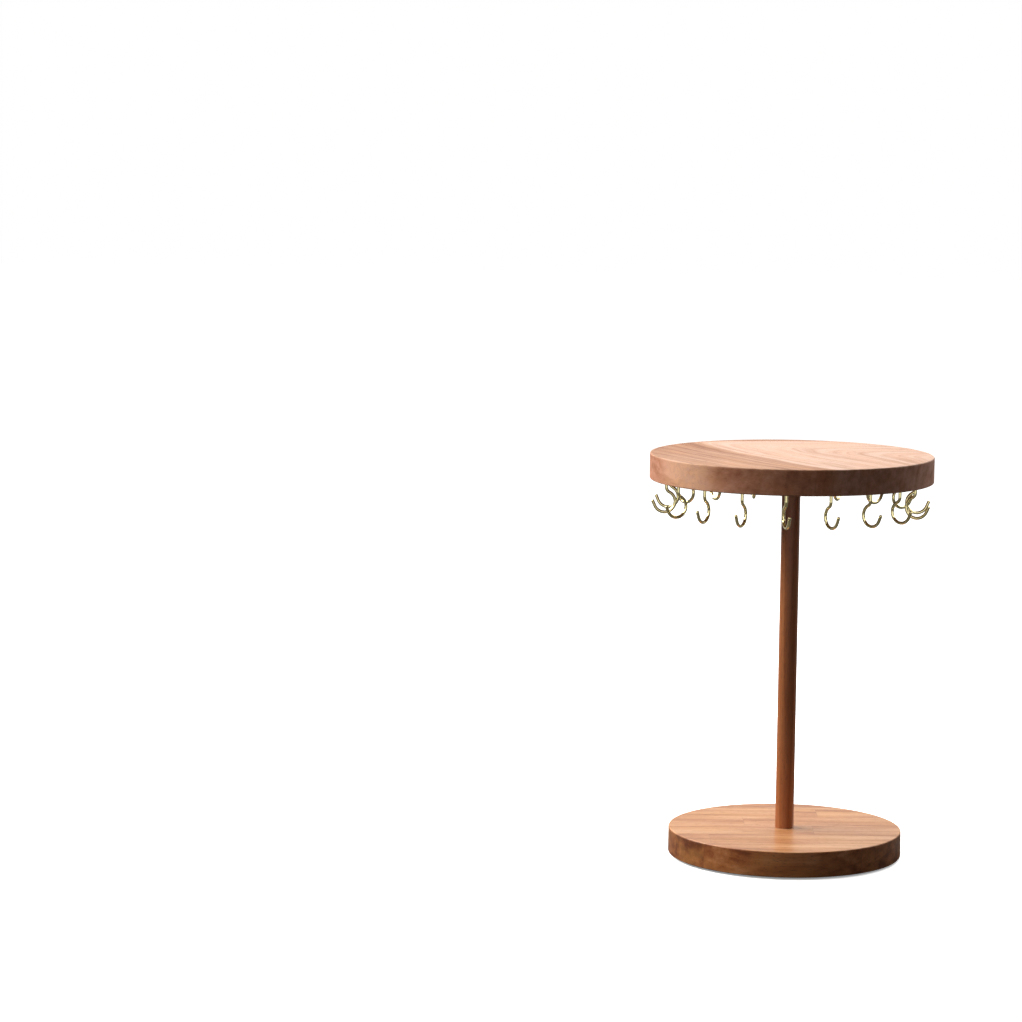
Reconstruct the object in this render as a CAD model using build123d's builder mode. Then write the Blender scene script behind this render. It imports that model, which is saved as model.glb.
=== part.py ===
from build123d import *
import os
from math import atan2, degrees, sqrt

# Revolving necklace stand: a round wooden top on a pole, over a round wooden base. The top turns on a ball
# bearing sunk in its underside, and brass screw hooks hang in a ring beneath it with their mouths outwards.
# Millimetres, +Z up, with the origin on the table under the pole's axis and the front hook on the -Y side.

# Wooden discs
top_diameter = 220.0
top_thickness = 20.0
base_diameter = 182.0
base_thickness = 20.0
disc_edge_radius = 1.0

# Pole, with pole_reach the open height between the two discs
pole_diameter = 14.5
pole_reach = 274.5
pole_end_chamfer = 0.6
socket_depth = 8.0
socket_clearance = 0.05

# Felt pads under the base, with pad_inset from the rim to the pad's edge
pad_diameter = 16.0
pad_thickness = 1.8
pad_inset = 9.0
pad_count = 4
pad_first_angle = 45.0

# Screw hooks, bent from round wire, with hook_inset from the top's rim to the shank's axis
hook_count = 18
hook_inset = 12.7
hook_wire = 2.5
hook_thread_length = 12.0
hook_point_length = 3.0
hook_point_radius = 0.3
hook_shank_drop = 6.0
hook_neck_radius = 4.6
hook_bowl_radius = 8.2
hook_bowl_offset = 1.3
hook_flare_angle = 24.0
hook_tip_length = 5.0
hook_tip_fillet = 0.5
hook_hole_clearance = 0.03
hook_hole_spare = 0.5

# Degrees that each hook stands off straight outwards, where its thread came tight, from the front hook round
# anticlockwise as seen from above
hook_twists = (18, 16, 9, -6, -2, 0, 4, -4, 2, -3, -12, -11, -6, 4, -1, 5, 14, -2)

# Button-head screws, their washers and the threaded inserts in the pole's ends
screw_diameter = 5.9
screw_engagement = 12.4
screw_head_diameter = 10.5
screw_head_height = 3.3
screw_head_dome = 1.5
screw_key_width = 4.0
screw_key_depth = 2.2
screw_end_chamfer = 0.6
insert_wall = 1.55
insert_length = 13.0
insert_clearance = 0.02
insert_hole_spare = 1.0
thread_clearance = 0.02
spacer_thickness = 0.8
spacer_margin = 0.2
washer_diameter = 12.0
washer_thickness = 1.2
counterbore_clearance = 1.0
head_recess = 1.1
screw_hole_clearance = 0.3

# Ball bearing in the top's underside
bearing_diameter = 19.0
bearing_width = 6.0
bearing_recess = 2.0
bearing_seat_clearance = 0.02
bore_clearance = 0.05
ball_diameter = 3.5
ball_count = 7
ball_clearance = 0.04
race_shoulder = 0.9
race_chamfer = 0.3
shield_thickness = 0.3
shield_lap = 0.6
shield_gap = 0.2
shield_seat_clearance = 0.02
cage_width = 1.6
cage_rise = 0.9
pocket_clearance = 0.08
relief_margin = 0.1
relief_headroom = 1.0

# Heights above the table
base_under = pad_thickness
base_top = base_under + base_thickness
top_under = base_top + pole_reach
top_top = top_under + top_thickness
bearing_under = top_under + bearing_recess
bearing_middle = bearing_under + bearing_width / 2
bearing_top = bearing_under + bearing_width
pole_foot = base_top - socket_depth
pole_head = bearing_under - spacer_thickness
washer_under = base_under + head_recess + screw_head_height
washer_top = washer_under + washer_thickness

# Bearing radii, worked out from the screw that fills the bore and from the balls
ball_radius = ball_diameter / 2
bearing_bore_radius = screw_diameter / 2 + bore_clearance
pitch_radius = (bearing_bore_radius + bearing_diameter / 2) / 2
groove_radius = ball_radius + ball_clearance
inner_land_radius = pitch_radius - race_shoulder * ball_radius
outer_land_radius = pitch_radius + race_shoulder * ball_radius
shield_seat_radius = outer_land_radius + shield_lap
relief_radius = shield_seat_radius + relief_margin
relief_depth = spacer_thickness + screw_head_height + relief_headroom
spacer_radius = inner_land_radius - spacer_margin

# Inserts, and the holes that take the screws
insert_bore_radius = screw_diameter / 2 + thread_clearance
insert_radius = insert_bore_radius + insert_wall
insert_hole_depth = max(insert_length, screw_engagement) + insert_hole_spare
screw_hole_radius = screw_diameter / 2 + screw_hole_clearance
counterbore_radius = washer_diameter / 2 + counterbore_clearance
swivel_screw_length = 2 * spacer_thickness + bearing_width + screw_engagement
base_screw_length = washer_thickness + (pole_foot - washer_top) + screw_engagement

# Ring of hooks, and the fall from the shank's end to the bowl's centre that makes the two bends meet
hook_circle_radius = top_diameter / 2 - hook_inset
wire_radius = hook_wire / 2
neck_to_bowl = hook_neck_radius + hook_bowl_radius
neck_fall = sqrt(neck_to_bowl**2 - (hook_neck_radius + hook_bowl_offset) ** 2)
neck_turn = degrees(atan2(neck_fall, hook_neck_radius + hook_bowl_offset))
bowl_turn = 180 - hook_flare_angle + neck_turn
bowl_centre_drop = hook_shank_drop + neck_fall

pad_circle_radius = base_diameter / 2 - pad_inset - pad_diameter / 2


def write_piece(piece, name):
    """Labels one finished piece and writes it under its own name."""
    piece.label = name
    export_step(piece, f"parts/{name}.step")


def placed(piece, x, y, z, turn=0.0):
    """A copy of a piece, turned about Z and set down at a point."""
    with BuildPart() as copy:
        with Locations(Location((x, y, z), (0, 0, turn))):
            add(piece)
    return copy.part


def around(radius, angle):
    """The point on a circle round the pole's axis, at an angle anticlockwise from the front."""
    spot = Vector(0, -radius, 0).rotate(Axis.Z, angle)
    return spot.X, spot.Y


def ring(low, height, outer_radius, bore_radius):
    """A plain flat ring round the pole's axis."""
    with BuildPart() as flat_ring:
        with BuildSketch(Plane.XY.offset(low)):
            Circle(outer_radius)
            Circle(bore_radius, mode=Mode.SUBTRACT)
        extrude(amount=height)
    return flat_ring.part


def button_screw(length):
    """A socket button-head screw with its head's seat at the origin and its shank pointing down."""
    with BuildPart() as screw:
        with BuildSketch():
            Circle(screw_head_diameter / 2)
        extrude(amount=screw_head_height)
        crown = screw.edges().sort_by(Axis.Z)[-1]
        fillet(crown, radius=screw_head_dome)
        with BuildSketch():
            Circle(screw_diameter / 2)
        extrude(amount=-length)
        tip = screw.edges().sort_by(Axis.Z)[0]
        chamfer(tip, length=screw_end_chamfer)
        with BuildSketch(Plane.XY.offset(screw_head_height)):
            RegularPolygon(screw_key_width / 2, 6, major_radius=False)
        extrude(amount=-screw_key_depth, mode=Mode.SUBTRACT)
    return screw.part


def threaded_insert():
    """A plain insert with its mouth at the origin, reaching down into the wood."""
    with BuildPart() as insert:
        with BuildSketch():
            Circle(insert_radius)
            Circle(insert_bore_radius, mode=Mode.SUBTRACT)
        extrude(amount=-insert_length)
    return insert.part


def bearing_race(seat_radius, land_radius):
    """One race, from its seat on the screw or in the wood to its land, with the balls' groove between."""
    with BuildPart() as race:
        with BuildSketch(Plane.XZ) as profile:
            with Locations(((seat_radius + land_radius) / 2, bearing_middle)):
                Rectangle(abs(land_radius - seat_radius), bearing_width)
            seat_corners = profile.vertices().group_by(Axis.X)[0 if seat_radius < land_radius else -1]
            chamfer(seat_corners, length=race_chamfer)
            with Locations((pitch_radius, bearing_middle)):
                Circle(groove_radius, mode=Mode.SUBTRACT)
        revolve(axis=Axis.Z)
    return race.part


os.makedirs("parts", exist_ok=True)

# Top disc, with the bearing's pocket, the room over the screw's head and the hooks' holes in its underside
with BuildPart() as top_disc:
    with BuildSketch(Plane.XY.offset(top_under)):
        Circle(top_diameter / 2)
    extrude(amount=top_thickness)
    fillet(top_disc.edges().filter_by(GeomType.CIRCLE), radius=disc_edge_radius)
    with BuildSketch(Plane.XY.offset(top_under)):
        Circle(bearing_diameter / 2 + bearing_seat_clearance)
    extrude(amount=bearing_recess + bearing_width, mode=Mode.SUBTRACT)
    with BuildSketch(Plane.XY.offset(bearing_top)):
        Circle(relief_radius)
    extrude(amount=relief_depth, mode=Mode.SUBTRACT)
    with BuildSketch(Plane.XY.offset(top_under)):
        with PolarLocations(hook_circle_radius, hook_count, start_angle=-90):
            Circle(wire_radius + hook_hole_clearance)
    extrude(amount=hook_thread_length + hook_hole_spare, mode=Mode.SUBTRACT)
write_piece(top_disc.part, "top_disc")

# Base disc, with the pole's socket above and the counterbored screw hole below
with BuildPart() as base_disc:
    with BuildSketch(Plane.XY.offset(base_under)):
        Circle(base_diameter / 2)
    extrude(amount=base_thickness)
    fillet(base_disc.edges().filter_by(GeomType.CIRCLE), radius=disc_edge_radius)
    with BuildSketch(Plane.XY.offset(pole_foot)):
        Circle(pole_diameter / 2 + socket_clearance)
    extrude(amount=socket_depth, mode=Mode.SUBTRACT)
    with BuildSketch(Plane.XY.offset(base_under)):
        Circle(counterbore_radius)
    extrude(amount=washer_top - base_under, mode=Mode.SUBTRACT)
    with BuildSketch(Plane.XY.offset(washer_top)):
        Circle(screw_hole_radius)
    extrude(amount=pole_foot - washer_top, mode=Mode.SUBTRACT)
write_piece(base_disc.part, "base_disc")

# Pole, bored at both ends for the inserts
with BuildPart() as pole:
    with BuildSketch(Plane.XY.offset(pole_foot)):
        Circle(pole_diameter / 2)
    extrude(amount=pole_head - pole_foot)
    chamfer(pole.edges().filter_by(GeomType.CIRCLE), length=pole_end_chamfer)
    with BuildSketch(Plane.XY.offset(pole_foot)):
        Circle(insert_radius + insert_clearance)
    extrude(amount=insert_hole_depth, mode=Mode.SUBTRACT)
    with BuildSketch(Plane.XY.offset(pole_head)):
        Circle(insert_radius + insert_clearance)
    extrude(amount=-insert_hole_depth, mode=Mode.SUBTRACT)
write_piece(pole.part, "pole")

# Inserts and screws: the base's screw points up into the pole, and the swivel's points down into it
insert = threaded_insert()
write_piece(placed(insert, 0, 0, pole_head), "upper_insert")
write_piece(placed(insert, 0, 0, pole_foot + insert_length), "lower_insert")

swivel_screw = button_screw(swivel_screw_length)
write_piece(placed(swivel_screw, 0, 0, bearing_top + spacer_thickness), "swivel_screw")

with BuildPart() as base_screw:
    with Locations(Location((0, 0, washer_under), (180, 0, 0))):
        add(button_screw(base_screw_length))
write_piece(base_screw.part, "base_screw")
write_piece(ring(washer_under, washer_thickness, washer_diameter / 2, screw_hole_radius), "base_washer")

# Spacers that bear on the inner race alone
write_piece(ring(pole_head, spacer_thickness, spacer_radius, bearing_bore_radius), "lower_spacer")
write_piece(ring(bearing_top, spacer_thickness, spacer_radius, bearing_bore_radius), "upper_spacer")

# Inner race, fixed to the pole, and outer race, fixed in the top and stepped at both ends for the shields
write_piece(bearing_race(bearing_bore_radius, inner_land_radius), "bearing_inner_race")

with BuildPart() as outer_race:
    add(bearing_race(bearing_diameter / 2, outer_land_radius))
    for seat in (bearing_under, bearing_top - shield_thickness):
        with BuildSketch(Plane.XY.offset(seat)):
            Circle(shield_seat_radius)
        extrude(amount=shield_thickness, mode=Mode.SUBTRACT)
write_piece(outer_race.part, "bearing_outer_race")

shield_outer_radius = shield_seat_radius - shield_seat_clearance
shield_inner_radius = inner_land_radius + shield_gap
for seat, name in ((bearing_under, "lower"), (bearing_top - shield_thickness, "upper")):
    write_piece(
        ring(seat, shield_thickness, shield_outer_radius, shield_inner_radius), f"bearing_{name}_shield"
    )

# Crown cage: its floor runs under the balls, midway between them and the lower shield
pocket_radius = ball_radius + pocket_clearance
cage_drop = (pocket_radius + bearing_width / 2 - shield_thickness) / 2
with BuildPart() as cage:
    with BuildSketch(Plane.XY.offset(bearing_middle - cage_drop)):
        Circle(pitch_radius + cage_width / 2)
        Circle(pitch_radius - cage_width / 2, mode=Mode.SUBTRACT)
    extrude(amount=cage_drop + cage_rise)
    with Locations((0, 0, bearing_middle)):
        with PolarLocations(pitch_radius, ball_count, start_angle=-90):
            Sphere(pocket_radius, mode=Mode.SUBTRACT)
write_piece(cage.part, "bearing_cage")

with BuildPart() as ball:
    Sphere(ball_radius)
for index in range(ball_count):
    x, y = around(pitch_radius, 360 / ball_count * index)
    write_piece(placed(ball.part, x, y, bearing_middle), f"bearing_ball_{index + 1}")

# One hook, with its shank's axis on Z, the top's underside at Z 0 and its mouth facing +X
with BuildPart() as hook:
    with BuildLine(Plane.XZ) as bend:
        shank = Line((0, hook_thread_length - hook_point_length), (0, -hook_shank_drop))
        neck = JernArc(shank @ 1, shank % 1, hook_neck_radius, -neck_turn)
        bowl = JernArc(neck @ 1, neck % 1, hook_bowl_radius, bowl_turn)
        Line(bowl @ 1, bowl @ 1 + bowl % 1 * hook_tip_length)
    with BuildSketch(Plane.XY.offset(hook_thread_length - hook_point_length)):
        Circle(wire_radius)
    sweep(path=bend.wires()[0])
    tip = hook.edges().filter_by(GeomType.CIRCLE).sort_by(Axis.X)[-1]
    fillet(tip, radius=hook_tip_fillet)
    with Locations((0, 0, hook_thread_length - hook_point_length)):
        Cone(
            wire_radius,
            hook_point_radius,
            hook_point_length,
            align=(Align.CENTER, Align.CENTER, Align.MIN),
        )

for index in range(hook_count):
    angle = 360 / hook_count * index
    x, y = around(hook_circle_radius, angle)
    facing = angle - 90 + hook_twists[index % len(hook_twists)]
    write_piece(placed(hook.part, x, y, top_under, facing), f"hook_{index + 1:02d}")

# Felt pads that the base stands on
with BuildPart() as pad:
    with BuildSketch():
        Circle(pad_diameter / 2)
    extrude(amount=pad_thickness)
for index in range(pad_count):
    x, y = around(pad_circle_radius, pad_first_angle + 360 / pad_count * index)
    write_piece(placed(pad.part, x, y, 0), f"foot_pad_{index + 1}")

print(f"Overall height {top_top:.1f}, hooks hang {bowl_centre_drop + hook_bowl_radius + wire_radius:.1f} below the top")
print(f"Swivel screw {swivel_screw_length:.1f} long, base screw {base_screw_length:.1f} long")
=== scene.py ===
from math import cos, radians, sin

import bpy
from mathutils import Matrix, Vector


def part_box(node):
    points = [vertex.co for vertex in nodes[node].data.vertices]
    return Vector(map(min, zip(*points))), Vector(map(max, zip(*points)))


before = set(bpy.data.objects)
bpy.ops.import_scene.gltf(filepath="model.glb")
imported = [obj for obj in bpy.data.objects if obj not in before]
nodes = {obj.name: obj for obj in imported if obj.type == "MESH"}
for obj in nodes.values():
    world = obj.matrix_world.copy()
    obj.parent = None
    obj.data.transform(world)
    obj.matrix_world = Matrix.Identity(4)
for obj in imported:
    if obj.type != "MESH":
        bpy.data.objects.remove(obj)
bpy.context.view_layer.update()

topLow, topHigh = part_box("top_disc")
baseLow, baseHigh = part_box("base_disc")


# Shader maths. In the dictionaries, a range is where a value starts to count and where it counts in full.

class Flow:                          # one socket of a finish, and arithmetic on it adds Math nodes
    def __init__(self, tree, socket=None):
        self.tree, self.socket = tree, socket

    def node(self, kind, settings=None, sockets=None, out=0):
        made = self.tree.nodes.new("ShaderNode" + kind)
        for name, value in (settings or {}).items():
            if name == "stops":
                fillRamp(made.color_ramp, value)
            elif name == "steps":
                made.color_ramp.interpolation = "CONSTANT"
            else:
                setattr(made, name, value)
        for name, value in (sockets or {}).items():
            if isinstance(value, Flow):
                self.tree.links.new(value.socket, made.inputs[name])
            else:
                made.inputs[name].default_value = value
        return Flow(self.tree, made.outputs[out] if len(made.outputs) else None)

    def outputs(self):               # every output of this socket's node
        return [Flow(self.tree, socket) for socket in self.socket.node.outputs]

    def maths(self, operation, *values):
        return self.node("Math", {"operation": operation}, dict(enumerate(values)))

    def __add__(self, other):
        return self.maths("ADD", self, other)

    __radd__ = __add__

    def __sub__(self, other):
        return self.maths("SUBTRACT", self, other)

    def __rsub__(self, other):
        return self.maths("SUBTRACT", other, self)

    def __mul__(self, other):
        return self.maths("MULTIPLY", self, other)

    __rmul__ = __mul__

    def __truediv__(self, other):
        return self.maths("DIVIDE", self, other)

    def __rtruediv__(self, other):
        return self.maths("DIVIDE", other, self)

    def __pow__(self, other):
        return self.maths("POWER", self, other)

    def __abs__(self):
        return self.maths("ABSOLUTE", self)

    def floor(self):
        return self.maths("FLOOR", self)

    def rounded(self):
        return self.maths("ROUND", self)

    def fraction(self):
        return self.maths("FRACT", self)

    def root(self):
        return self.maths("SQRT", self)

    def above(self, other):          # the larger of the two
        return self.maths("MAXIMUM", self, other)

    def swing(self):                 # a value from 0 to 1, moved to swing about 0
        return self - 0.5

    def rise(self, start, end):      # 0 at start, 1 at end, eased at both
        sockets = {0: self, 1: start, 2: end}
        return self.node("MapRange", {"interpolation_type": "SMOOTHSTEP"}, sockets)


def fillRamp(ramp, stops):
    while len(ramp.elements) < len(stops):
        ramp.elements.new(1.0)
    for element, (place, colour) in zip(ramp.elements, stops):
        element.position, element.color = place, solid(colour)


def solid(colour):
    return (*colour, 1.0)


def mixColours(share, first, second, mode="MIX"):    # inputs 6 and 7 and output 2 of Mix are its colours
    ends = [c if isinstance(c, Flow) else solid(c) for c in (first, second)]
    settings = {"data_type": "RGBA", "blend_type": mode}
    return share.node("Mix", settings, {0: share, 6: ends[0], 7: ends[1]}, out=2)


def stained(colour, *stains):        # a stain is its share, its colour and, unless plain, how it mixes
    for share, tint, *mode in stains:
        colour = mixColours(share, colour, tint, *mode)
    return colour


def newFinish(name):
    finish = bpy.data.materials.new(name)
    finish.use_nodes = True
    finish.node_tree.nodes.clear()
    return finish, Flow(finish.node_tree)


def closeFinish(paint, sockets):
    shader = paint.node("BsdfPrincipled", sockets=sockets)
    paint.node("OutputMaterial", sockets={"Surface": shader})


def bodyPlace(paint):                # X, Y and Z of the row frame, in metres, riding with the body
    return paint.node("SeparateXYZ", sockets={0: paint.node("TexCoord", out="Object")}).outputs()


def spot(x, y, z):
    return x.node("CombineXYZ", sockets={0: x, 1: y, 2: z})


def cloud(where, scale=1.0, detail=2.0, roughness=0.5):      # smooth noise from 0 to 1
    sockets = {"Vector": where, "Scale": scale, "Detail": detail, "Roughness": roughness}
    return where.node("TexNoise", sockets=sockets)


def chance(value, seed=0.0):         # one even random number for each whole value
    return value.node("TexWhiteNoise", {"noise_dimensions": "1D"}, {"W": value + seed})


def relief(height, look):
    sockets = {"Strength": look["bump"], "Distance": look["bumpDepth"], "Height": height}
    return height.node("Bump", sockets=sockets)


def wear(nodeNames, finish):
    for name in nodeNames:
        mesh = nodes[name].data
        mesh.materials.clear()
        mesh.materials.append(finish)


def named(start):
    return sorted(name for name in nodes if name.startswith(start))


# Wood. u runs along the grain, v across it and w through the board, and where a dictionary gives three scales
# of a noise, they are in that order.

anyWood = {
    "lateSharpness": 3.0, "poreRange": (0.62, 0.69), "endRange": (0.45, 0.98),
    "streakRough": 0.16, "poreRough": 0.15, "streakHeight": 0.35, "lateHeight": 0.15, "bump": 0.5,
}
discWood = {
    **anyWood, "lateFall": 0.16, "pore": (150.0, 1700.0, 1700.0), "poreColour": (0.10, 0.042, 0.022),
    "mottle": (14.0, 110.0, 50.0), "mottleRange": (0.34, 0.66), "faceRange": (0.3, 0.9),
    "edgeWidth": 0.0022, "bumpDepth": 0.00012,
}


def turned(x, y, degrees):
    turn = radians(degrees)
    return x * cos(turn) + y * sin(turn), y * cos(turn) - x * sin(turn)


def grain(scales, u, v, w, detail=2.0, roughness=0.5):
    along, across, deep = scales
    return cloud(spot(u * along, v * across, w * deep), detail=detail, roughness=roughness)


def growthRings(u, v, w, look):      # the distance from the pith, the dark late wood, and a tint for each ring
    drift = grain(look["drift"], u, v, w)
    radius = (v * v + (w + look["pithDepth"]) ** 2.0).root() - u * look["taper"]
    radius = radius + drift.swing() * look["driftSize"]
    uneven = cloud(spot(radius * look["unevenScale"], 0.0, 0.0), detail=1.0)
    count = (radius + uneven.swing() * look["unevenSize"]) / look["ringPitch"]
    turn = count.fraction()
    late = (turn ** look["lateSharpness"]).above(1.0 - turn / look["lateFall"])
    return radius, late, chance(count.floor())


def fibres(u, v, w, look):
    return grain(look["streak"], u, v, w, 6.0, look["streakRoughness"])


def openPores(u, v, w, look):
    return grain(look["pore"], u, v, w, detail=1.0).rise(*look["poreRange"])


def mottled(u, v, w, look):
    return grain(look["mottle"], u, v, w, 5.0, 0.7).rise(*look["mottleRange"])


def facing(paint, direction, start, end):      # 1 where the surface faces along a direction
    sockets = {0: paint.node("TexCoord", out="Normal"), 1: direction}
    along = paint.node("VectorMath", {"operation": "DOT_PRODUCT"}, sockets, out="Value")
    return abs(along).rise(start, end)


def lying(look):                     # the direction of the grain in a disc
    turn = radians(look["grainTurn"])
    return (cos(turn), sin(turn), 0.0)


def rim(paint, look):                # 1 on a disc's side, 0 on its two faces
    return 1.0 - facing(paint, (0.0, 0.0, 1.0), *look["faceRange"])


# The worn edge's paler colour is part wear and part a painted highlight line along the edge
def arris(x, y, z, low, high, look): # 1 on a disc's worn edge, 0 a little way in
    inward = high.x - (x * x + y * y).root()
    middle, half = (low.z + high.z) / 2, (high.z - low.z) / 2
    down = half - abs(z - middle)
    return 1.0 - inward.above(down).rise(0.0, look["edgeWidth"])


def ramp(tone, look):                # pale wood at 0, dark at 1
    return tone.node("ValToRGB", {"stops": look["tones"]}, {0: tone})


def woodRoughness(streaks, pores, look):
    return look["roughness"] + streaks.swing() * look["streakRough"] + pores * look["poreRough"]


def woodHeight(streaks, late, pores, look):
    return streaks * look["streakHeight"] + late * look["lateHeight"] - pores


topWood = {
    **discWood,
    "grainTurn": -21.0, "tipX": -0.084, "tipY": 0.072,       # where the arches of the grain point
    "pithDepth": 0.022, "taper": 0.61, "ringPitch": 0.0085,
    "drift": (7.0, 16.0, 16.0), "driftSize": 0.022, "unevenScale": 45.0, "unevenSize": 0.012,
    "streak": (8.0, 110.0, 110.0), "streakRoughness": 0.6, "broad": (6.0, 14.0, 14.0),
    "mottleLean": 0.6, "fleckScale": 240.0, "fleckRange": (0.28, 0.72),
    # The dark heart band starts and fades at these distances from the pith, and flames break it up
    "heartStart": (0.012, 0.023), "heartEnd": (0.032, 0.062), "heartFade": 0.25,
    "flame": (9.0, 60.0, 40.0), "flameLeast": 0.20, "flameGain": 1.6,
    # The rim has a pale patch, a painted highlight where the key light falls on its left, and the left end is
    # dark
    "highlightX": -0.077, "highlightY": -0.078, "patchRange": (0.006, 0.044), "leftRange": (0.086, 0.110),
    # How far each moves the tone, and how much the rim calms the rings and the heart
    "tone": 0.03, "broadTone": 0.5, "lateTone": 0.18, "ringTone": 0.16, "streakTone": 1.35,
    "heartTone": 0.48, "endPaler": 0.06, "leftTone": 0.13, "rimTone": 0.15, "mottleTone": 0.12,
    "highlightPaler": 0.30, "highlightMottle": 0.26, "rimCalm": 0.5,
    "tones": [(0.0, (0.525, 0.351, 0.271)), (0.35, (0.376, 0.212, 0.135)),
              (0.7, (0.232, 0.106, 0.056)), (1.0, (0.125, 0.047, 0.023))],
    "warm": (14.0, 45.0, 60.0), "warmRange": (0.42, 0.70), "warmShare": 0.26, "warmColour": (0.52, 0.25, 0.12),
    # Shares and colours; the highlight entries paint the key light's highlight on the rim's left
    "heartShare": 0.5, "heartTint": (1.0, 0.95, 0.86), "rimTint": (1.0, 0.77, 0.70), "highlightClear": 0.35,
    "highlightLeast": 0.10, "highlightGain": 0.45, "highlightColour": (0.78, 0.43, 0.22),
    "poreShare": 0.45, "rimPores": 0.25, "wearAndHighlightShare": 0.15, "wearAndHighlightColour": (0.66, 0.42, 0.28),
    "roughness": 0.62, "gloss": 0.2,
}


def topFinish(look):
    finish, paint = newFinish("top_wood")
    x, y, z = bodyPlace(paint)
    u, v = turned(x - look["tipX"], y - look["tipY"], look["grainTurn"])
    w = z - topHigh.z
    radius, late, ringTint = growthRings(u, v, w, look)
    streaks, pores = fibres(u, radius, w, look), openPores(u, v, w, look)       # streaks follow the rings
    broad = grain(look["broad"], u, v, w, detail=1.0)
    flame = grain(look["flame"], u, radius, w, detail=3.0)
    warm = grain(look["warm"], u, radius, w, detail=3.0).rise(*look["warmRange"])
    mottle = mottled(u, v + w * look["mottleLean"], w, look)
    fleck = cloud(spot(x, y, z), look["fleckScale"], 5.0, 0.65).rise(*look["fleckRange"])
    heart = radius.rise(*look["heartStart"]) * (1.0 - radius.rise(*look["heartEnd"]) * look["heartFade"])
    heart = heart * (look["flameLeast"] + flame * look["flameGain"])
    ends = facing(paint, lying(look), *look["endRange"])
    side = rim(paint, look)
    edge = arris(x, y, z, topLow, topHigh, look)
    # A painted highlight: a mottled pale patch on the rim's left, where the key light falls
    highlightX, highlightY = x - look["highlightX"], y - look["highlightY"]
    paintedHighlight = 1.0 - (highlightX * highlightX + highlightY * highlightY).root().rise(*look["patchRange"])

    rings = late * look["lateTone"] + ringTint.swing() * look["ringTone"]
    rings = rings * (1.0 - side * (look["rimCalm"] - paintedHighlight * look["rimCalm"]))
    tone = look["tone"] + broad.swing() * look["broadTone"] + rings + streaks.swing() * look["streakTone"]
    tone = tone + heart * look["heartTone"] * (1.0 - side * look["rimCalm"])
    tone = tone - ends * look["endPaler"] + (0.0 - x).rise(*look["leftRange"]) * look["leftTone"]
    rimTone = (mottle + fleck - 1.0) * look["mottleTone"] + look["rimTone"]
    # The painted highlight makes the rim's tone paler
    tone = tone + side * (rimTone - paintedHighlight * (look["highlightPaler"] + mottle * look["highlightMottle"]))
    colour = stained(
        ramp(tone, look),
        (warm * look["warmShare"], look["warmColour"]),
        (heart * look["heartShare"], look["heartTint"], "MULTIPLY"),
        # The painted highlight clears the rim's tint and adds a pale colour
        (side * (1.0 - paintedHighlight * look["highlightClear"]), look["rimTint"], "MULTIPLY"),
        (side * paintedHighlight * (look["highlightLeast"] + fleck * look["highlightGain"]), look["highlightColour"]),
        (pores * (look["poreShare"] - side * look["rimPores"]), look["poreColour"]),
        # The edge is painted paler: part wear, part a painted highlight line
        (edge * look["wearAndHighlightShare"], look["wearAndHighlightColour"]),
    )
    closeFinish(paint, {
        "Base Color": colour, "Roughness": woodRoughness(streaks, pores, look),
        "Specular IOR Level": look["gloss"],
        "Normal": relief(woodHeight(streaks, late, pores, look), look),
    })
    return finish


baseWood = {
    **discWood,
    "grainTurn": 6.0, "staveWidth": 0.0335, "staveMiddle": 0.004,
    # For each stave, from the front: its tone left and right of its butt joint, and the joint's place
    "staves": [(0.36, 0.42, 0.80), (0.40, 0.35, 0.17), (0.37, 0.40, 0.62), (0.36, 0.38, 0.33),
               (0.43, 0.36, 0.66), (0.38, 0.47, 0.30)],
    "seamWidth": 0.010, "buttWidth": 0.0005, "buttStep": (-0.00005, 0.00005),
    # Each board is cut from its own place in the log
    "cutSeed": 3.0, "logSeed": 11.0, "cutAlong": 0.7, "cutAcross": 0.10,
    "pithDepth": 0.19, "taper": 0.04, "ringPitch": 0.0075,
    "drift": (4.0, 14.0, 14.0), "driftSize": 0.010, "unevenScale": 60.0, "unevenSize": 0.010,
    "streak": (6.0, 95.0, 95.0), "streakRoughness": 0.66, "broad": (8.0, 40.0, 40.0),
    # How far each moves the tone
    "tonePaler": 0.12, "broadTone": 0.55, "lateTone": 0.14, "ringTone": 0.10, "streakTone": 2.3,
    "endTone": 0.54, "rimTone": 0.20, "rimMottle": 0.16, "endMottle": 0.24,
    "tones": [(0.0, (0.590, 0.325, 0.168)), (0.35, (0.440, 0.193, 0.075)),
              (0.7, (0.270, 0.088, 0.028)), (1.0, (0.130, 0.038, 0.013))],
    "warm": (16.0, 60.0, 70.0), "warmRange": (0.40, 0.70), "warmShare": 0.40, "warmColour": (0.50, 0.235, 0.07),
    "rosy": (9.0, 32.0, 40.0), "rosyRange": (0.48, 0.75), "rosyShare": 0.35, "rosyColour": (0.3, 0.098, 0.045),
    "rimShare": 0.8, "rimTint": (1.0, 0.76, 0.58), "poreShare": 0.45,
    "lineShare": 0.25, "lineColour": (0.14, 0.05, 0.028), "lineDepth": 0.6,
    "wearAndHighlightShare": 0.10, "wearAndHighlightColour": (0.60, 0.36, 0.21), "edgeRough": 0.25,
    "roughness": 0.34, "gloss": 0.3, "coat": 0.24, "rimCoat": 0.15, "edgeCoat": 0.08, "coatRoughness": 0.16,
}


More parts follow.
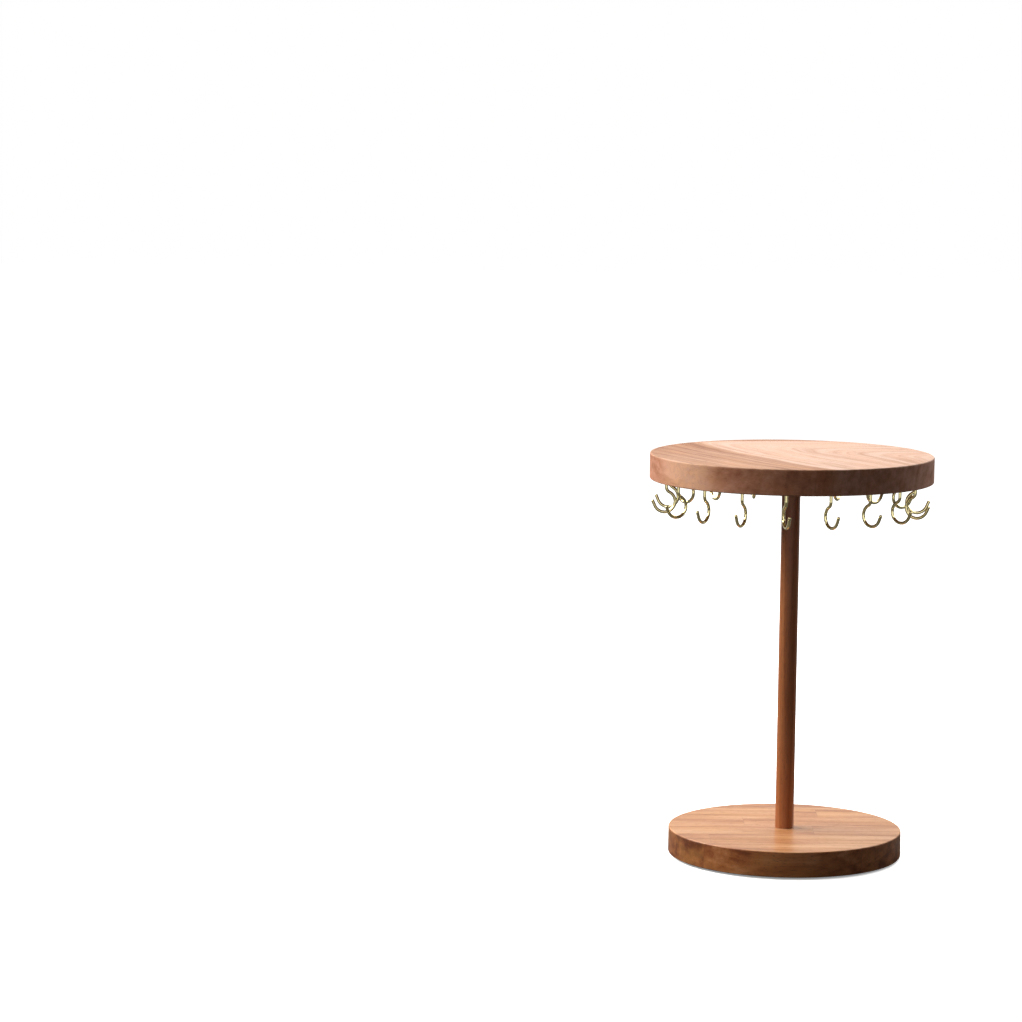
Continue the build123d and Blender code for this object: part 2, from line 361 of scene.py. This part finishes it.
def baseFinish(look):
    finish, paint = newFinish("base_wood")
    x, y, z = bodyPlace(paint)
    u, v = turned(x, y, look["grainTurn"])
    count = len(look["staves"])
    first = look["staveMiddle"] - count / 2 * look["staveWidth"]
    across = (v - first) / look["staveWidth"]
    share = across / count
    stops = [(i / count, stave) for i, stave in enumerate(look["staves"])]
    stave = share.node("ValToRGB", {"stops": stops, "steps": True}, {0: share})
    left, right, joint = stave.node("SeparateColor", sockets={0: stave}).outputs()
    past = u - (joint - 0.5) * 2.0 * baseHigh.x      # along the grain, from the stave's butt joint
    rightward = past.rise(*look["buttStep"])
    board = across.floor() * 2.0 + rightward.rounded()
    cut = chance(board, look["cutSeed"])
    w = z - baseHigh.z + cut * look["cutAcross"]
    cutU, cutV = u + cut * look["cutAlong"], v + cut
    logV = v + chance(board, look["logSeed"]).swing() * look["cutAcross"]
    radius, late, ringTint = growthRings(cutU, logV, w, look)
    streaks, pores = fibres(cutU, cutV, w, look), openPores(cutU, cutV, w, look)
    broad = grain(look["broad"], u + cut, v, w, detail=1.0)
    warm = grain(look["warm"], u + cut, v, w, detail=3.0).rise(*look["warmRange"])
    rosy = grain(look["rosy"], u - cut, v, w).rise(*look["rosyRange"])
    mottle = mottled(u + cut, v, w, look)
    seam = 1.0 - (0.5 - abs(across.fraction() - 0.5)).rise(0.0, look["seamWidth"])
    line = seam.above(1.0 - abs(past).rise(0.0, look["buttWidth"]))
    ends = facing(paint, lying(look), *look["endRange"])
    side = rim(paint, look) * (1.0 - ends)
    edge = arris(x, y, z, baseLow, baseHigh, look)

    tone = left + (right - left) * rightward
    tone = tone - look["tonePaler"] + broad.swing() * look["broadTone"] + late * look["lateTone"]
    tone = tone + ringTint.swing() * look["ringTone"] + streaks.swing() * look["streakTone"]
    tone = tone + ends * look["endTone"] + side * look["rimTone"]
    tone = tone + (side * look["rimMottle"] + ends * look["endMottle"]) * mottle.swing()
    colour = stained(
        ramp(tone, look),
        (warm * look["warmShare"], look["warmColour"]),
        (rosy * look["rosyShare"], look["rosyColour"]),
        (side * look["rimShare"], look["rimTint"], "MULTIPLY"),
        (pores * look["poreShare"], look["poreColour"]),
        (line * look["lineShare"], look["lineColour"]),
        # The edge is painted paler: part wear, part a painted highlight line
        (edge * look["wearAndHighlightShare"], look["wearAndHighlightColour"]),
    )
    closeFinish(paint, {
        "Base Color": colour, "Roughness": woodRoughness(streaks, pores, look) + edge * look["edgeRough"],
        "Specular IOR Level": look["gloss"],
        "Coat Weight": look["coat"] - (side + ends) * look["rimCoat"] - edge * look["edgeCoat"],
        "Coat Roughness": look["coatRoughness"],
        "Normal": relief(woodHeight(streaks, late, pores, look) - line * look["lineDepth"], look),
    })
    return finish


poleWood = {
    **anyWood,
    "pithDepth": 0.02, "taper": 0.012, "ringPitch": 0.0028, "lateFall": 0.2,
    "drift": (5.0, 60.0, 60.0), "driftSize": 0.004, "unevenScale": 200.0, "unevenSize": 0.003,
    "streak": (7.0, 420.0, 420.0), "streakRoughness": 0.6, "broad": (9.0, 60.0, 60.0),
    "pore": (150.0, 2200.0, 2200.0), "poreShare": 0.4, "poreColour": (0.07, 0.028, 0.015),
    # How far each moves the tone
    "tone": 0.25, "broadTone": 0.5, "lateTone": 0.18, "ringTone": 0.10, "streakTone": 0.5, "endTone": 0.2,
    "tones": [(0.0, (0.460, 0.180, 0.072)), (0.4, (0.345, 0.112, 0.035)),
              (0.75, (0.210, 0.058, 0.017)), (1.0, (0.110, 0.029, 0.010))],
    "roughness": 0.34, "gloss": 0.3, "coat": 0.2, "coatRoughness": 0.2, "bumpDepth": 0.00010,
}


def poleFinish(look):                # its grain runs upwards
    finish, paint = newFinish("pole_wood")
    x, y, z = bodyPlace(paint)
    radius, late, ringTint = growthRings(z, x, y, look)
    streaks, pores = fibres(z, x, y, look), openPores(z, x, y, look)
    broad = grain(look["broad"], z, x, y, detail=1.0)
    ends = facing(paint, (0.0, 0.0, 1.0), *look["endRange"])
    tone = look["tone"] + broad.swing() * look["broadTone"] + late * look["lateTone"]
    tone = tone + ringTint.swing() * look["ringTone"] + streaks.swing() * look["streakTone"]
    tone = tone + ends * look["endTone"]
    closeFinish(paint, {
        "Base Color": stained(ramp(tone, look), (pores * look["poreShare"], look["poreColour"])),
        "Roughness": woodRoughness(streaks, pores, look), "Specular IOR Level": look["gloss"],
        "Coat Weight": look["coat"], "Coat Roughness": look["coatRoughness"],
        "Normal": relief(woodHeight(streaks, late, pores, look), look),
    })
    return finish


wear(["top_disc"], topFinish(topWood))
wear(["base_disc"], baseFinish(baseWood))
wear(["pole"], poleFinish(poleWood))
print("Wood: top, base and pole finished")


# Metal, nylon and felt

anyBrass = {
    "tarnishScale": 180.0, "tarnishRange": (0.45, 0.75), "tarnishShare": 0.35, "tarnishRough": 0.08,
    "drawnScale": 2600.0, "drawnSquash": 0.25, "bump": 0.3, "bumpDepth": 0.00001,
}
hookBrass = {**anyBrass, "bright": (0.93, 0.82, 0.44), "dull": (0.64, 0.52, 0.22), "roughness": 0.10}
insertBrass = {**anyBrass, "bright": (0.80, 0.62, 0.30), "dull": (0.56, 0.40, 0.18), "roughness": 0.28}


def brassFinish(name, look):
    finish, paint = newFinish(name)
    x, y, z = bodyPlace(paint)
    tarnish = cloud(spot(x, y, z), look["tarnishScale"], detail=3.0).rise(*look["tarnishRange"])
    drawn = cloud(spot(x, y, z * look["drawnSquash"]), look["drawnScale"])
    closeFinish(paint, {
        "Base Color": mixColours(tarnish * look["tarnishShare"], look["bright"], look["dull"]),
        "Metallic": 1.0, "Roughness": look["roughness"] + tarnish * look["tarnishRough"],
        "Normal": relief(drawn, look),
    })
    return finish


wear(named("hook_"), brassFinish("hook_brass", hookBrass))
wear(["upper_insert", "lower_insert"], brassFinish("insert_brass", insertBrass))


anySteel = {
    "patchRange": (0.35, 0.7), "patchRough": 0.15, "lineRough": 0.10, "bump": 0.25, "bumpDepth": 0.00002,
}
screwSteel = {**anySteel, "light": (0.66, 0.66, 0.67), "dark": (0.50, 0.50, 0.53), "roughness": 0.30,
              "lines": 2500.0, "patchScale": 420.0}
bearingSteel = {**anySteel, "light": (0.74, 0.74, 0.75), "dark": (0.66, 0.66, 0.67), "roughness": 0.16,
                "lines": 5000.0, "patchScale": 250.0}
shieldSteel = {**anySteel, "light": (0.68, 0.68, 0.69), "dark": (0.58, 0.58, 0.60), "roughness": 0.26,
               "lines": 3500.0, "patchScale": 300.0}


def steelFinish(name, look):         # turned lines about the pole's axis, and dull patches
    finish, paint = newFinish(name)
    x, y, z = bodyPlace(paint)
    radius = (x * x + y * y).root()
    rings = cloud(spot(radius * look["lines"], 0.0, z * look["lines"]))
    patches = cloud(spot(x, y, z), look["patchScale"], detail=3.0)
    roughness = look["roughness"] + patches.swing() * look["patchRough"] + rings.swing() * look["lineRough"]
    closeFinish(paint, {
        "Base Color": mixColours(patches.rise(*look["patchRange"]), look["light"], look["dark"]),
        "Metallic": 1.0, "Roughness": roughness,
        "Normal": relief(rings, look),
    })
    return finish


wear(["swivel_screw", "base_screw", "base_washer", "lower_spacer", "upper_spacer"],
     steelFinish("screw_steel", screwSteel))
wear(["bearing_inner_race", "bearing_outer_race", *named("bearing_ball")],
     steelFinish("bearing_steel", bearingSteel))
wear(["bearing_lower_shield", "bearing_upper_shield"], steelFinish("shield_steel", shieldSteel))


cageNylon = {
    "light": (0.80, 0.77, 0.68), "dark": (0.72, 0.68, 0.58), "hazeScale": 600.0, "hazeRange": (0.3, 0.7),
    "roughness": 0.42, "hazeRough": 0.15, "bump": 0.3, "bumpDepth": 0.00003,
}


def nylonFinish(look):
    finish, paint = newFinish("cage_nylon")
    x, y, z = bodyPlace(paint)
    haze = cloud(spot(x, y, z), look["hazeScale"], detail=3.0)
    closeFinish(paint, {
        "Base Color": mixColours(haze.rise(*look["hazeRange"]), look["light"], look["dark"]),
        "Roughness": look["roughness"] + haze.swing() * look["hazeRough"],
        "Normal": relief(haze, look),
    })
    return finish


wear(["bearing_cage"], nylonFinish(cageNylon))


padFelt = {
    "hairScale": 2200.0, "hairRange": (0.3, 0.75), "dark": (0.05, 0.034, 0.026), "light": (0.115, 0.084, 0.066),
    "tuftScale": 350.0, "tuftRange": (0.45, 0.8), "tuftShare": 0.4, "tuftColour": (0.15, 0.115, 0.095),
    "tuftHeight": 0.6, "roughness": 0.95, "sheen": 0.12, "bump": 0.8, "bumpDepth": 0.0003,
}


def feltFinish(look):
    finish, paint = newFinish("pad_felt")
    x, y, z = bodyPlace(paint)
    hairs = cloud(spot(x, y, z), look["hairScale"], 5.0, 0.7)
    tufts = cloud(spot(x, y, z), look["tuftScale"], detail=3.0)
    colour = mixColours(hairs.rise(*look["hairRange"]), look["dark"], look["light"])
    tuftShare = tufts.rise(*look["tuftRange"]) * look["tuftShare"]
    closeFinish(paint, {
        "Base Color": mixColours(tuftShare, colour, look["tuftColour"]),
        "Roughness": look["roughness"], "Sheen Weight": look["sheen"],
        "Normal": relief(hairs + tufts * look["tuftHeight"], look),
    })
    return finish


wear(named("foot_pad"), feltFinish(padFelt))
print("Hardware: brass, steel, nylon and felt finished")


# Studio. Angles are in degrees. Azimuth 0 is in front and 90 on the right.

cameraView = {"place": (0.1009, -2.7457, 0.6096), "yaw": -6.64, "pitch": 7.081, "roll": 0.6375,
              "lens": 125.19, "sensor": 36.0, "near": 0.05, "far": 60.0}

lampAim = (0.0, 0.0, 0.16)           # half way up the stand
lamps = {
    "key": {"azimuth": -86.0, "elevation": 34.0, "distance": 1.9, "size": (1.4, 0.75), "power": 40.0,
            "colour": (1.0, 0.97, 0.93)},
    "back": {"azimuth": -120.0, "elevation": 46.0, "distance": 1.9, "size": (1.3, 1.1), "power": 38.0,
             "colour": (1.0, 0.98, 0.95)},
    "far": {"azimuth": 160.0, "elevation": 48.0, "distance": 1.9, "size": (1.5, 1.0), "power": 17.0,
            "colour": (1.0, 0.98, 0.95)},
    "side": {"azimuth": 125.0, "elevation": 22.0, "distance": 2.2, "size": (0.6, 1.2), "power": 9.0,
             "colour": (1.0, 0.97, 0.94)},
    "front": {"azimuth": -22.0, "elevation": 24.0, "distance": 2.6, "size": (0.14, 0.5), "power": 2.2,
              "colour": (1.0, 0.99, 0.97)},
}

# The room is white to the camera. Its light is dim, with more from behind and above. Reflections see less of
# what is behind, and a bright card in front and overhead.
roomLight = {
    "behindRange": (0.5, 0.95), "behind": 0.64, "hushed": 0.3, "aboveRange": (0.2, 0.9), "above": 0.14,
    "cardRange": (0.76, 0.92), "overheadRange": (0.3, 0.7), "card": 1.35,
    "dim": 0.03, "colour": (1.0, 1.0, 1.0),
}

# The floor glows pale to the camera, except close under the stand, where the glow fades into a painted contact
# shadow. It bounces little light. Reflections see it dark, with a bright strip far in front and another far
# behind.
paleFloor = {
    "reach": 8.0, "colour": (0.95, 0.95, 0.95), "glow": 0.9, "contact": 0.012, "contactShadowRange": (-0.25, 0.5),
    "bounce": (0.085, 0.08, 0.078), "mirrored": (0.10, 0.097, 0.094), "stripRange": (1.0, 1.8), "strip": 0.95,
}


def setCamera(look):
    data = bpy.data.cameras.new("camera")
    data.lens, data.sensor_width = look["lens"], look["sensor"]
    data.clip_start, data.clip_end = look["near"], look["far"]
    camera = bpy.data.objects.new("camera", data)
    yaw = Matrix.Rotation(radians(-look["yaw"]), 4, "Z")
    pitch = Matrix.Rotation(radians(90.0 - look["pitch"]), 4, "X")
    roll = Matrix.Rotation(radians(look["roll"]), 4, "Z")
    camera.matrix_world = Matrix.Translation(look["place"]) @ (yaw @ pitch @ roll)
    bpy.context.scene.collection.objects.link(camera)
    bpy.context.scene.camera = camera


def softbox(name, look):
    data = bpy.data.lights.new(name, "AREA")
    data.shape, data.size, data.size_y = "RECTANGLE", look["size"][0], look["size"][1]
    data.energy, data.color = look["power"], look["colour"]
    lamp = bpy.data.objects.new(name, data)
    turn, lift = radians(look["azimuth"]), radians(look["elevation"])
    back = Vector((sin(turn) * cos(lift), -cos(turn) * cos(lift), sin(lift)))
    lamp.location = Vector(lampAim) + back * look["distance"]
    lamp.rotation_mode = "QUATERNION"
    lamp.rotation_quaternion = back.to_track_quat("Z", "Y")
    lamp.visible_camera = False
    bpy.context.scene.collection.objects.link(lamp)


def rayKinds(paint):                 # 1 for rays from the camera, and 1 for reflected rays
    return [paint.node("LightPath", out=kind) for kind in ("Is Camera Ray", "Is Glossy Ray")]


def setRoom(look):
    world = bpy.data.worlds.new("room")
    world.use_nodes = True
    world.node_tree.nodes.clear()
    room = Flow(world.node_tree)
    x, y, z = room.node("SeparateXYZ", sockets={0: room.node("TexCoord", out="Generated")}).outputs()
    seen, mirrored = rayKinds(room)
    behind = y.rise(*look["behindRange"]) * look["behind"]
    above = z.rise(*look["aboveRange"]) * look["above"]
    card = (0.0 - y).rise(*look["cardRange"]).above(z.rise(*look["overheadRange"])) * look["card"]
    level = behind + above + look["dim"] + (card - behind * look["hushed"]) * mirrored
    level = seen + (1.0 - seen) * level
    light = room.node("Background", sockets={"Color": solid(look["colour"]), "Strength": level})
    room.node("OutputWorld", sockets={"Surface": light})
    bpy.context.scene.world = world


def setFloor(look):
    reach = look["reach"]
    corners = [(-reach, -reach, 0), (reach, -reach, 0), (reach, reach, 0), (-reach, reach, 0)]
    data = bpy.data.meshes.new("floor")
    data.from_pydata(corners, [], [(0, 1, 2, 3)])
    floor = bpy.data.objects.new("floor", data)
    bpy.context.scene.collection.objects.link(floor)
    finish, paint = newFinish("pale_floor")

    def either(share, first, second):
        return paint.node("MixShader", sockets={0: share, 1: first, 2: second})

    seen, mirrored = rayKinds(paint)
    matt, dull, shown = [paint.node("BsdfDiffuse", sockets={"Color": solid(look[name])})
                         for name in ("colour", "bounce", "mirrored")]
    glow, strip = [paint.node("Emission", sockets={"Color": solid(look["colour"]), "Strength": look[name]})
                   for name in ("glow", "strip")]
    bright = paint.node("AddShader", sockets={0: matt, 1: glow})
    # Where ambient occlusion is low, close under the stand, the glow fades: a painted contact shadow
    clear = paint.node("AmbientOcclusion", {"samples": 6}, {"Distance": look["contact"]}, out="AO")
    lit = either(clear.rise(*look["contactShadowRange"]), matt, bright)
    x, y, z = bodyPlace(paint)
    shown = either(abs(y).rise(*look["stripRange"]), shown, strip)
    both = either(seen, either(mirrored, dull, shown), lit)
    paint.node("OutputMaterial", sockets={"Surface": both})
    data.materials.append(finish)


setCamera(cameraView)
for lampName, lampLook in lamps.items():
    softbox(lampName, lampLook)
setRoom(roomLight)
setFloor(paleFloor)
bpy.context.scene.view_settings.view_transform = "Standard"
print("Studio: camera, floor, room and lights")
